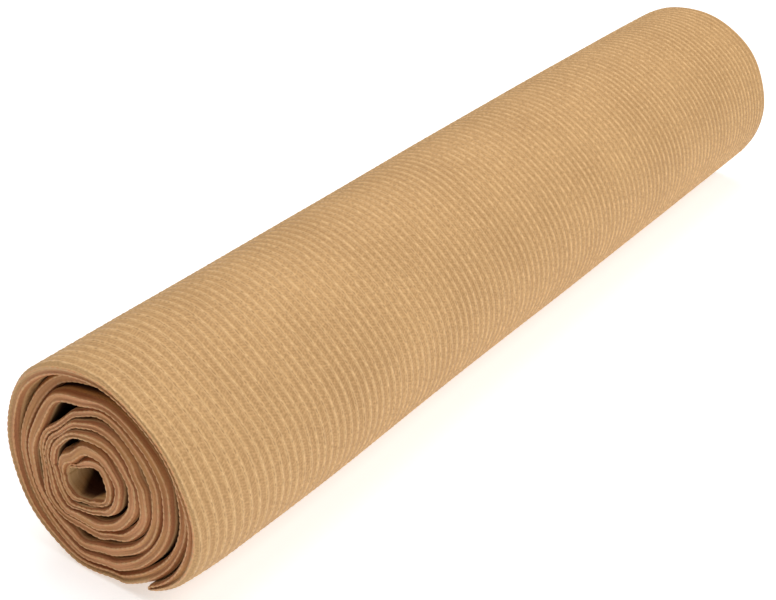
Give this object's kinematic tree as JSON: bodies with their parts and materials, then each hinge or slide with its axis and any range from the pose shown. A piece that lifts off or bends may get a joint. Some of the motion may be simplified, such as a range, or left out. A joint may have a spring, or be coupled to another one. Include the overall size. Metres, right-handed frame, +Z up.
{
  "type": "roll of shade net",
  "caption": "Knitted tan shade net folded lengthwise and rolled up by hand, lying on its side with a hollow middle, a free outer end and ribbed outside.",
  "frame": {"origin": "on the ground under the middle of the roll's box", "axes": "+Y along the roll from the shown end to the far end, +X to the right as seen from the shown end, +Z up"},
  "size_m": [0.197, 0.92, 0.1908],
  "materials": {
    "net": "matt knitted plastic tape, tan"
  },
  "bodies": {
    "root": {"net_roll": "net"}
  },
  "joints": []
}
